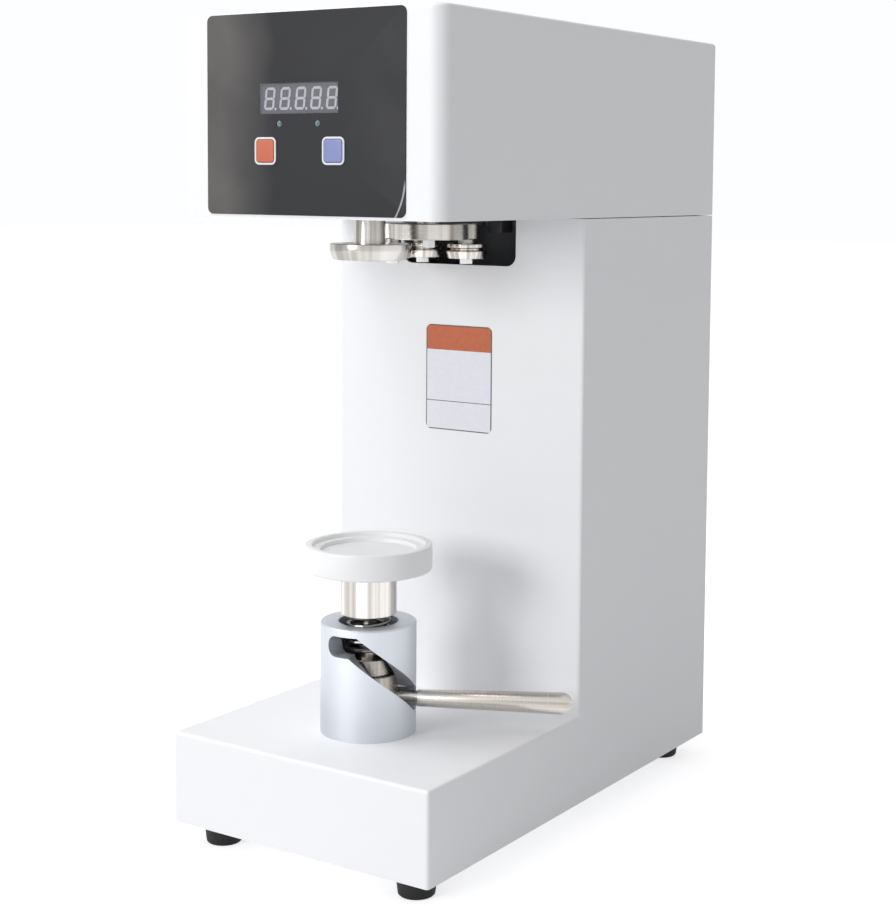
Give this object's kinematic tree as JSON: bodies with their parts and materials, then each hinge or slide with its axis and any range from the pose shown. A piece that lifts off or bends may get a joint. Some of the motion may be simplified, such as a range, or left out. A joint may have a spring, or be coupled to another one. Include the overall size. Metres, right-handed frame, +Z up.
{
  "type": "can seamer",
  "caption": "Bench can seamer: a cam-slot hand lift raises the can to a driven chuck, and a turret of rollers behind it seams the lid.",
  "frame": {"origin": "on the standing surface, centred between the four feet", "axes": "+Z up; -Y is the front, where the operator stands; +X is the operator's right"},
  "size_m": [0.24, 0.4005, 0.581],
  "materials": {
    "white_coat": "fine-textured white powder coat",
    "white_plate": "white painted plate",
    "zinc_sheet": "bright zinc plate",
    "screw_zinc": "bright zinc plate",
    "screw_black": "black oxide",
    "foot_rubber": "matt black rubber",
    "overlay_film": "dark satin film",
    "window_film": "clear grey film",
    "display_grey": "grey display face",
    "lamp_lens": "clear lamp, unlit",
    "stop_key": "orange-red key",
    "start_key": "blue key",
    "board_green": "green solder mask",
    "turned_steel": "turned and ground steel",
    "bright_steel": "polished hardened steel",
    "bearing_steel": "ground bearing steel",
    "handle_steel": "satin stainless steel",
    "blasted_aluminium": "bead-blasted and clear anodised",
    "pulley_aluminium": "turned aluminium",
    "belt_rubber": "black belt",
    "motor_paint": "dark machine paint",
    "spring_steel": "oiled spring wire",
    "tray_plastic": "white acetal",
    "black_plastic": "moulded black plastic",
    "supply_case": "folded bare sheet"
  },
  "bodies": {
    "frame": {"body_shell": "white_coat", "base_plate": "zinc_sheet", "rear_cover": "white_coat", "cover_screws": "screw_zinc", "head_cover": "white_coat", "main_plate": "white_plate", "column_posts": "zinc_sheet", "frame_bolts": "screw_black", "lift_bridge": "zinc_sheet", "rubber_feet": "foot_rubber", "foot_screws": "screw_zinc", "control_overlay": "overlay_film", "display_window": "window_film", "counter_display": "display_grey", "indicator_lamps": "lamp_lens", "control_board": "board_green", "board_standoffs": "screw_zinc", "spindle_housing": "turned_steel", "spindle_bearings": "bearing_steel", "spindle_clip": "spring_steel", "drive_belt": "belt_rubber", "drive_motor": "motor_paint", "turret_housing": "turned_steel", "housing_screws": "screw_black", "sensor_bracket": "zinc_sheet", "turret_sensor": "black_plastic", "turret_bearings": "bearing_steel", "turret_gearmotor": "motor_paint", "lift_sleeve": "blasted_aluminium", "sleeve_bolts": "screw_black", "power_inlet": "black_plastic", "power_switch": "black_plastic", "power_supply": "supply_case"},
    "lift": {"spring_seat": "turned_steel", "lift_spring": "spring_steel"},
    "handle": {"lift_piston": "turned_steel", "handle_bar": "handle_steel"},
    "cup": {"lift_cup": "turned_steel", "stem_clip": "spring_steel", "tray_bearing": "bearing_steel"},
    "tray": {"can_tray": "tray_plastic"},
    "spindle": {"spindle_shaft": "turned_steel", "seaming_chuck": "turned_steel", "chuck_screw": "screw_black", "spindle_pulley": "pulley_aluminium", "spindle_nut": "screw_zinc"},
    "motor_rotor": {"motor_shaft": "turned_steel", "motor_pulley": "pulley_aluminium"},
    "turret": {"turret_plate": "turned_steel", "turret_shaft": "turned_steel", "turret_bolt": "screw_zinc", "gearmotor_shaft": "turned_steel", "roller_pins": "bright_steel", "roller_collars": "turned_steel"},
    "roller_1": {"seaming_roller_1": "bright_steel"},
    "roller_2": {"seaming_roller_2": "bright_steel"},
    "roller_3": {"seaming_roller_3": "bright_steel"},
    "stop_key": {"stop_button": "stop_key"},
    "start_key": {"start_button": "start_key"},
    "rocker": {"power_rocker": "black_plastic"}
  },
  "joints": [
    {"name": "lift_slide", "type": "slide", "parent": "frame", "child": "lift", "axis": [0, 0, 1], "range_m": [0, 0.0425]},
    {"name": "handle_turn", "type": "hinge", "parent": "lift", "child": "handle", "pos_m": [0, -0.1155, 0.105], "axis": [0, 0, 1], "range_deg": [-99.2, 0.2]},
    {"name": "tray_press", "type": "slide", "parent": "lift", "child": "cup", "axis": [0, 0, 1], "range_m": [-0.004, 0], "stiffness_N_per_m": 8000, "springref_m": 0.012, "deforming": ["lift_spring"]},
    {"name": "tray_spin", "type": "hinge", "parent": "cup", "child": "tray", "pos_m": [0, -0.1155, 0.2], "axis": [0, 0, 1], "continuous": true},
    {"name": "spindle_spin", "type": "hinge", "parent": "frame", "child": "spindle", "pos_m": [0, -0.1155, 0.444], "axis": [0, 0, 1], "continuous": true},
    {"name": "motor_spin", "type": "hinge", "parent": "frame", "child": "motor_rotor", "pos_m": [0, 0.095, 0.444], "axis": [0, 0, 1], "continuous": true},
    {"name": "turret_turn", "type": "hinge", "parent": "frame", "child": "turret", "pos_m": [0, -0.0435, 0.444], "axis": [0, 0, 1], "continuous": true},
    {"name": "roller_1_spin", "type": "hinge", "parent": "turret", "child": "roller_1", "pos_m": [0.02011, -0.02474, 0.419], "axis": [0, 0, 1], "continuous": true},
    {"name": "roller_2_spin", "type": "hinge", "parent": "turret", "child": "roller_2", "pos_m": [-0.01945, -0.02405, 0.419], "axis": [0, 0, 1], "continuous": true},
    {"name": "roller_3_spin", "type": "hinge", "parent": "turret", "child": "roller_3", "pos_m": [-0.02531, -0.05425, 0.419], "axis": [0, 0, 1], "continuous": true},
    {"name": "stop_press", "type": "slide", "parent": "frame", "child": "stop_key", "axis": [0, 1, 0], "range_m": [0, 0.0006], "stiffness_N_per_m": 1500},
    {"name": "start_press", "type": "slide", "parent": "frame", "child": "start_key", "axis": [0, 1, 0], "range_m": [0, 0.0006], "stiffness_N_per_m": 1500},
    {"name": "rocker_tilt", "type": "hinge", "parent": "frame", "child": "rocker", "pos_m": [-0.04, 0.1925, 0.141], "axis": [1, 0, 0], "range_deg": [0, 20]}
  ],
  "couplings": [
    {"joint": "handle_turn", "follows": "lift_slide", "rad_per_m": -40.656},
    {"joint": "motor_spin", "follows": "spindle_spin", "ratio": 1.3636}
  ]
}
